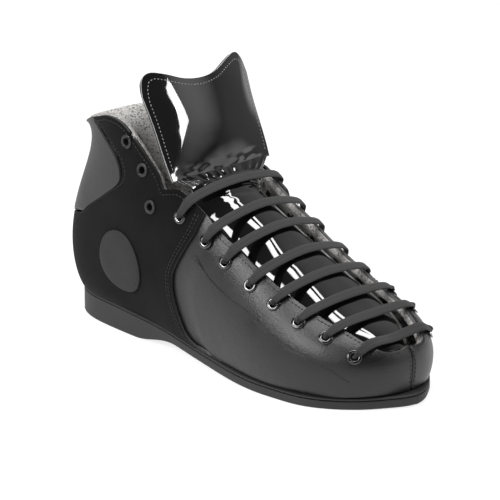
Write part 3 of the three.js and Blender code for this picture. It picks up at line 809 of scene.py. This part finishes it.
# ---- Eyelets ----
# Eleven pairs of pressed eyelets, black enamel with a bare bright lip where the lace rubs, set
# from outside and clinched behind the lining. The last three pairs are dull.
enamel = Finish("eyelet_enamel")
enamel_material = enamel.done(
    Base_Color=enamel.ramp(enamel.cloud(500.0), [(0.3, grey(0.004)), (0.7, grey(0.008))]),
    Roughness=0.16, Coat_Weight=0.8, Coat_Roughness=0.08)
worn = Finish("eyelet_bright_lip")
worn_scuff = worn.cloud(1500.0)
worn_material = worn.done(
    Base_Color=worn.ramp(worn_scuff, [(0.3, grey(0.45)), (0.7, grey(0.75))]), Metallic=1.0,
    Roughness=worn_scuff * 0.2 + 0.2)
dull = Finish("eyelet_dull")
dull_scuff = dull.cloud(1200.0)
dull_material = dull.done(
    Base_Color=dull.ramp(dull_scuff, [(0.3, grey(0.02)), (0.7, grey(0.05))]), Metallic=0.6,
    Roughness=dull_scuff * 0.2 + 0.4)
EYELET_TAIL = -7.3
for index, (s, v) in enumerate(EYELETS):
    seat = (0 if index < VAMP_EYELETS else QUARTER_PROUD) + 0.3
    profile = [
        (2.4, seat + 0.2), (2.45, seat + 0.5), (2.62, seat + 0.72), (2.85, seat + 0.82),
        (3.4, seat + 0.9), (4.0, seat + 0.75), (4.4, seat + 0.45), (4.5, seat + 0.1),
        (4.45, seat), (2.8, seat), (2.8, EYELET_TAIL), (3.65, EYELET_TAIL),
        (3.7, EYELET_TAIL - 0.2), (2.4, EYELET_TAIL - 0.5),
    ]
    for side, inner in (("outer", False), ("inner", True)):
        station = LOOP - s if inner else s
        bm = bmesh.new()
        rim = [bm.verts.new((r, 0, z)) for r, z in profile]
        edges = [bm.edges.new((p, q)) for p, q in zip(rim, rim[1:] + rim[:1])]
        bmesh.ops.spin(bm, geom=rim + edges, cent=(0, 0, 0), axis=(0, 0, 1), dvec=(0, 0, 0),
                       angle=math.tau, steps=28, use_merge=True, use_duplicate=False)
        bmesh.ops.remove_doubles(bm, verts=bm.verts[:], dist=1e-4)
        bmesh.ops.recalc_face_normals(bm, faces=bm.faces[:])
        for f in bm.faces:
            middle = f.calc_center_median()
            f.material_index = 1 if math.hypot(middle.x, middle.y) < 2.72 and middle.z > seat - 1 else 0
        turn = Vector((0, 0, 1)).rotation_difference(Vector(outward(station, v))).to_matrix().to_4x4()
        place = Matrix.Translation(Vector(to_frame(face(station, v)))) @ turn @ Matrix.Scale(0.001, 4)
        bmesh.ops.transform(bm, matrix=place, verts=bm.verts[:])
        finishes = [enamel_material, worn_material] if index < LACED else [dull_material, dull_material]
        piece(f"eyelet_ring_{side}_{index + 1}", bm, finishes,
              replaces=[f"eyelet_{side}_{index + 1}"])

# ---- Tongue ----
# A long padded tongue faced with black patent leather and backed with knit. It is sewn in at the
# toe, lies under the laces and creases where it meets the flap.
patent = Finish("patent_leather")
patent_waves = patent.cloud(26.0, 2.0)
patent_dust = patent.cloud(1800.0, 2.0)
patent_material = patent.done(
    Base_Color=patent.ramp(patent_dust, [(0.3, grey(0.0035)), (0.7, grey(0.006))]),
    Roughness=patent_dust * 0.03 + 0.035, Coat_Weight=1.0, Coat_Roughness=0.02,
    Normal=patent.bump(patent_waves, 0.0012, 0.6))
patent_edge_material = edge_finish("patent_cut_edge", 0.30)


TONGUE_TOE = 124
TONGUE_TOP = -19.8


def tongue_rail(inner):
    side = LOOP if inner else 0
    sign = 1 if inner else -1
    points = [skin(abs(side - s), top_line(s) - 0.13, -10.3)
              for s in (1.35, 1.9, 2.6, 3.5, 4.4, 5.4, 6.25)]
    points.append(np.array([TONGUE_TOP, 30.0 * sign, 106.5]))
    table = np.array([along_route(points, t) for t in np.linspace(0, len(points) - 1, 500)])
    return lambda t: np.stack(
        [np.interp(t, np.linspace(0, 1, 500), table[:, n]) for n in range(3)], axis=-1)


outer_rail, inner_rail = tongue_rail(False), tongue_rail(True)


# Front face of the tongue: across runs from the outer edge (-1) to the inner edge (1).
def tongue_face(across, along):
    t = np.clip(along, 0, 1)
    edge = np.where((across < 0)[..., None], outer_rail(t), inner_rail(t))
    x = TONGUE_TOE + (TONGUE_TOP - TONGUE_TOE) * t
    lift = np.abs(across) ** 2.8
    return np.stack([
        x + (edge[..., 0] - x) * across ** 2, np.abs(across) * edge[..., 1],
        ridge(x) + (edge[..., 2] - ridge(x)) * lift], axis=-1)


def crumple(points, scale, seed):
    return np.array([
        noise.noise(Vector((p[0] * scale[0] + seed, p[1] * scale[1], p[2] * scale[2]))) for p in points])


def tongue_at(across, along, out):
    turned = normal_of(tongue_face, np.clip(across, -0.98, 0.98), np.clip(along, 0.003, 0.997))
    points = tongue_face(across, along)
    near_fold = ease(along, 0.82, 0.97)
    soft = (crumple(points, (0.035, 0.035, 0.035), 3.0) * 0.9
            + crumple(points, (0.4, 0.1, 0.4), 9.0) * near_fold * 0.8)
    soft = soft * (1 - np.abs(across) ** 4)
    return points + turned * (out + np.minimum(soft - 0.35, 0.1))[:, None]


tongue = laid(70, 190, lambda a, b: tongue_at(2 * a - 1, b, 0 * a), (0.06, 0.18))
piece("tongue_patent", tongue, [patent_material, patent_edge_material],
      replaces=["tongue_shell"], wall=0.0012, edge=0.0003)


# A crowned pad between two depths under a face: a goes round its section and b along it.
def pad_place(at, top, bottom, half, start, end):
    def place(a, b):
        angle = a * 2 * np.pi
        close = np.sqrt(np.clip(1 - np.abs(2 * b - 1) ** 14, 0, 1))
        across = half * np.cos(angle) * (0.97 + 0.03 * close)
        flat = np.sign(np.sin(angle)) * np.abs(np.sin(angle)) ** 0.55 * close
        middle = (top + bottom) / 2
        return at(across, start + (end - start) * b, middle + flat * (top - bottom) / 2)
    return place


pad = closed(laid(72, 90, pad_place(tongue_at, -1.7, -6.0, 0.92, 0.02, 0.965), (0.12, 0.17)))
piece("tongue_pad", pad, [lining_material],
                replaces=["tongue_foam", "tongue_lining"])

# ---- Flap ----
# The tongue's padded front flap: the same patent leather on a foam core with a dark fabric back,
# sewn round with one row of pale stitches. It folds forward along the seam at its foot.
flap_height = curve([
    [-1, 50], [-0.94, 59], [-0.82, 63.5], [-0.6, 62], [-0.3, 57.5], [0, 56], [0.3, 57.5],
    [0.6, 62], [0.82, 63.5], [0.94, 59], [1, 50],
])
flap_half = curve([[0, 41.5], [12, 42.5], [35, 43], [55, 45], [64, 45.5]])


HINGE_X, HINGE_Z = -21.5, 110.5
FLAP_START = 0.9
FLAP_LEAN = 0.36


def flap_face(across, share):
    height = FLAP_START + share * (flap_height(across) - FLAP_START)
    bow = (2 + 7 * height / 64) * across ** 2
    return np.stack([
        HINGE_X - FLAP_LEAN * height - bow, across * flap_half(height), HINGE_Z + height], axis=-1)


def flap_at(across, share, out):
    turned = normal_of(flap_face, np.clip(across, -0.98, 0.98), share)
    points = flap_face(across, share)
    near_fold = ease(share, 0.16, 0.0)
    soft = crumple(points, (0.03, 0.03, 0.03), 5.0) * 0.3
    soft = soft + crumple(points, (0.1, 0.16, 0.35), 13.0) * near_fold * 0.5
    soft = soft * (1 - np.abs(across) ** 4)
    padded = 1.7 * (4 * share * (1 - share)) * (1 - across ** 4)
    return points + turned * (out + padded + np.minimum(soft - 0.35, 0.3))[:, None]


flap = laid(110, 80, lambda a, b: flap_at(2 * a - 1, b, 0 * a), (0.09, 0.064))
piece("flap_patent", flap, [patent_material, patent_edge_material], body="flap",
      replaces=["flap_shell"], wall=0.0012, edge=0.0003)
flap_back = Finish("flap_fabric")
flap_back_weave = flap_back.cloud(1600.0, 4.0)
flap_back_material = flap_back.done(
    Base_Color=flap_back.ramp(flap_back_weave, [(0.3, grey(0.016)), (0.7, grey(0.04))]),
    Roughness=0.92, Sheen_Weight=0.2, Normal=flap_back.bump(flap_back_weave, 0.0003))
pad = closed(laid(90, 60, pad_place(flap_at, -1.35, -5.4, 0.985, 0.015, 0.99), (0.18, 0.064)))
piece("flap_pad", pad, [flap_back_material], body="flap",
                replaces=["flap_foam", "flap_lining"])

# ---- Fold ----
# A creased strip of the same patent leather joins the tongue to the flap.
def fold_place(a, b):
    across = (2 * a - 1) * 0.985
    low = tongue_at(across, 0 * a + 0.99, 0 * a - 0.2)
    high = flap_at(across, 0 * a + 0.03, 0 * a - 0.25)
    sides = (across ** 2)[:, None]
    middle = (low + high) / 2 + np.array([0.9, 0, -0.5]) * (1 - sides) + np.array([0.2, 0, 0.8]) * sides
    b = b[:, None]
    wrinkle = crumple(low, (0.1, 0.45, 0.1), 21.0)[:, None] * np.array([0.7, 0, 0.7]) * b * (1 - b) * 4
    return low * (1 - b) ** 2 + middle * 2 * b * (1 - b) + high * b * b + wrinkle


fold = laid(90, 12, fold_place, (0.05, 0.005))
fold_piece = piece("fold_strip", fold, [patent_material], body=None, wall=0.0006)
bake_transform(fold_piece)

# ---- Stitching ----
# Rows of single lockstitches: dark thread along the eyelet row, the toe and the quarters, and
# pale thread round the flap.
def stitch_row(bm, points, normals, pitch, length, radius):
    steps = np.linalg.norm(np.diff(points, axis=0), axis=1)
    run = np.concatenate([[0], np.cumsum(steps)])
    count = int(run[-1] / pitch)
    for k in range(count):
        spot, ahead, behind, out = (
            np.array([np.interp((k + share) * pitch, run, source[:, n]) for n in range(3)])
            for share, source in ((0.5, points), (0.7, points), (0.3, points), (0.5, normals)))
        along = Vector(ahead - behind).normalized()
        up = Vector(out) - along * Vector(out).dot(along)
        up.normalize()
        turn = Matrix((along, up.cross(along), up)).transposed().to_4x4()
        place = (Matrix.Translation(Vector(to_frame(spot))) @ turn
                 @ Matrix.Diagonal((length * 0.0005, radius * 0.001, radius * 0.0007, 1)))
        bmesh.ops.create_uvsphere(bm, u_segments=6, v_segments=5, radius=1.0, matrix=place)


# Makes the thread colours, and also the near-black painted shade of the seam band further down.
def thread_and_painted_shade_finish(name, tone):
    finish = Finish(name)
    twist = finish.cloud(4000.0, 2.0)
    return finish.done(
        Base_Color=finish.ramp(twist, [(0.3, grey(tone * 0.6)), (0.7, grey(tone * 1.2))]),
        Roughness=0.6, Normal=finish.bump(twist, 0.0001))


dark_thread = thread_and_painted_shade_finish("dark_thread", 0.005)
pale_thread = thread_and_painted_shade_finish("pale_thread", 0.22)


def skin_row(bm, stations, heights, out, pitch=2.6, length=2.0, radius=0.38):
    stitch_row(bm, skin(stations, heights, out), outward(stations, heights), pitch, length, radius)


stay_line = curve([
    [1.67, 0.22], [2, 0.31], [2.53, 0.39], [3.5, 0.43], [4.27, 0.48], [5, 0.49], [5.57, 0.52],
    [5.87, 0.55], [6.3, 0.58],
])
bm = bmesh.new()
for inner in (False, True):
    def turned(s):
        return LOOP - s if inner else s
    run = np.linspace(1.67, 6.2, 160)
    skin_row(bm, turned(run), stay_line(run), 0.14)
    run = np.linspace(0.35, 6.0, 240)
    skin_row(bm, turned(run), top_line(run) - 0.026, 0.12)
    run = np.linspace(0.12, 0.535, 60)
    skin_row(bm, turned(0 * run + 0.075), run, 0.05)
piece("vamp_stitches", bm, [dark_thread])


# A dark band laid just over the skin along a row of stitches: painted shade, standing in for the shadow of
# the groove that the stitches sink into.
def painted_seam_shade(name, first, last, height, half, out):
    for side, inner in (("outer", False), ("inner", True)):
        def place(a, b, inner=inner):
            share = a if inner else 1 - a
            s = first + (last - first) * share
            v = height(s) + (2 * b - 1) * half
            return skin(LOOP - s if inner else s, v, out)
        piece(f"{name}_{side}", laid(150, 2, place, (0.3, 0.001)), [painted_seam_shade_material])


# Near-black colour of that band: painted shade along the eyelet row's stitch line, not a thread.
painted_seam_shade_material = thread_and_painted_shade_finish("seam_painted_shade", 0.0025)
painted_seam_shade("eyelet_row_painted_shade", 1.67, 6.05, stay_line, 0.0042, 0.12)
bm = bmesh.new()
for inner in (False, True):
    def turned(s):
        return LOOP - s if inner else s
    rise = np.linspace(0.04, 0.755, 200)
    for offset in (0.09, 0.16):
        skin_row(bm, turned(seam_line(rise) + offset), rise, QUARTER_PROUD + 0.05)
    rise = np.linspace(0.50, 0.965, 160)
    skin_row(bm, turned(back_edge(rise) - 0.10), rise, QUARTER_PROUD + 0.05)
    run = np.linspace(6.4, 12, 260)
    skin_row(bm, turned(run), top_line(run) - 0.024, QUARTER_PROUD + 0.12)
    angle = np.linspace(0, math.tau, 200)
    skin_row(bm, turned(PATCH_STATION + 0.545 * np.cos(angle)),
             PATCH_HEIGHT + 0.123 * np.sin(angle), QUARTER_PROUD + 1.5)
piece("quarter_stitches", bm, [dark_thread])
bm = bmesh.new()
corners = [(-0.93, 0.03), (-0.93, 0.78), (-0.90, 0.87), (-0.84, 0.925), (-0.74, 0.94), (-0.4, 0.935),
           (0, 0.93), (0.4, 0.935), (0.74, 0.94), (0.84, 0.925), (0.90, 0.87), (0.93, 0.78), (0.93, 0.03)]
across = np.interp(np.linspace(0, 12, 400), np.arange(13), [c[0] for c in corners])
share = np.interp(np.linspace(0, 12, 400), np.arange(13), [c[1] for c in corners])
stitch_row(bm, flap_at(across, share, 0 * across + 0.05), normal_of(flap_face, across, share),
           2.4, 1.6, 0.32)
piece("flap_stitches", bm, [pale_thread], body="flap")

# ---- Floor and studio light ----
# A pale, faintly glowing floor, two strip boxes overhead, a narrow one that faces the flap and a
# large one at the outer side. The room is pale low down and dark above, with three soft glows.
bm = bmesh.new()
bmesh.ops.create_grid(bm, x_segments=1, y_segments=1, size=12.0)
floor_mesh = bpy.data.meshes.new("floor")
bm.to_mesh(floor_mesh)
bm.free()
floor = bpy.data.objects.new("floor", floor_mesh)
bpy.context.scene.collection.objects.link(floor)
paper = Finish("floor_paper")
floor_mesh.materials.append(paper.done(
    Base_Color=(0.25, 0.25, 0.25, 1), Roughness=0.9,
    Emission_Color=(1, 1, 1, 1), Emission_Strength=0.82))


def soft_box(name, direction, away, size, power, turn=0.0):
    lamp = bpy.data.lights.new(name, "AREA")
    lamp.shape = "RECTANGLE"
    lamp.size, lamp.size_y = size
    lamp.energy = power
    box = bpy.data.objects.new(name, lamp)
    aim = Vector(direction).normalized()
    box.location = Vector((0, 0, 0.07)) + aim * away
    box.rotation_mode = "QUATERNION"
    box.rotation_quaternion = aim.to_track_quat("Z", "Y") @ Matrix.Rotation(turn, 3, "Z").to_quaternion()
    bpy.context.scene.collection.objects.link(box)


def toward(turn, rise):
    turn, rise = math.radians(turn), math.radians(rise)
    return (math.cos(turn) * math.cos(rise), math.sin(turn) * math.cos(rise), math.sin(rise))


soft_box("strip_near", (0.02, -0.05, 1), 1.2, (1.3, 0.25), 12)
soft_box("strip_far", (-0.02, 0.22, 1), 1.2, (1.3, 0.11), 5)
soft_box("flap_strip", toward(25, 27), 1.3, (0.12, 0.24), 1.8, 0.35)
soft_box("vamp_box", (-0.20, -0.78, 0.62), 1.5, (1.2, 0.5), 22)
world = bpy.data.worlds.new("room")
bpy.context.scene.world = world
world.use_nodes = True
room = Finish("room", world.node_tree)
sky = room.node("ShaderNodeTexCoord")[0]
_, _, sky_height = room.node("ShaderNodeSeparateXYZ", {}, {0: sky})
walls = room.ramp(sky_height, [
    (0.0, grey(0.9)), (0.09, grey(0.9)), (0.14, grey(0.08)), (1.0, grey(0.05))])


def patch_of_light(turn, rise, edge, middle, bright):
    near = room.node("ShaderNodeVectorMath", {"operation": "DOT_PRODUCT"}, {
        0: sky, 1: toward(turn, rise)})[1]
    return room.ramp(near, [
        (math.cos(math.radians(edge)), grey(0.0)),
        (math.cos(math.radians(middle)), grey(1.0))]) * bright


glow = (patch_of_light(37, 23, 14, 2, 0.9) + patch_of_light(66, 6, 26, 14, 0.18)
        + patch_of_light(95, 48, 42, 12, 0.28))
background = next(n for n in world.node_tree.nodes if n.type == "BACKGROUND")
room.feed(background, {"Color": room.node("ShaderNodeMix", {"data_type": "RGBA", "blend_type": "ADD"}, {
    0: 1.0, 6: walls, 7: glow})[2], "Strength": 1.0})
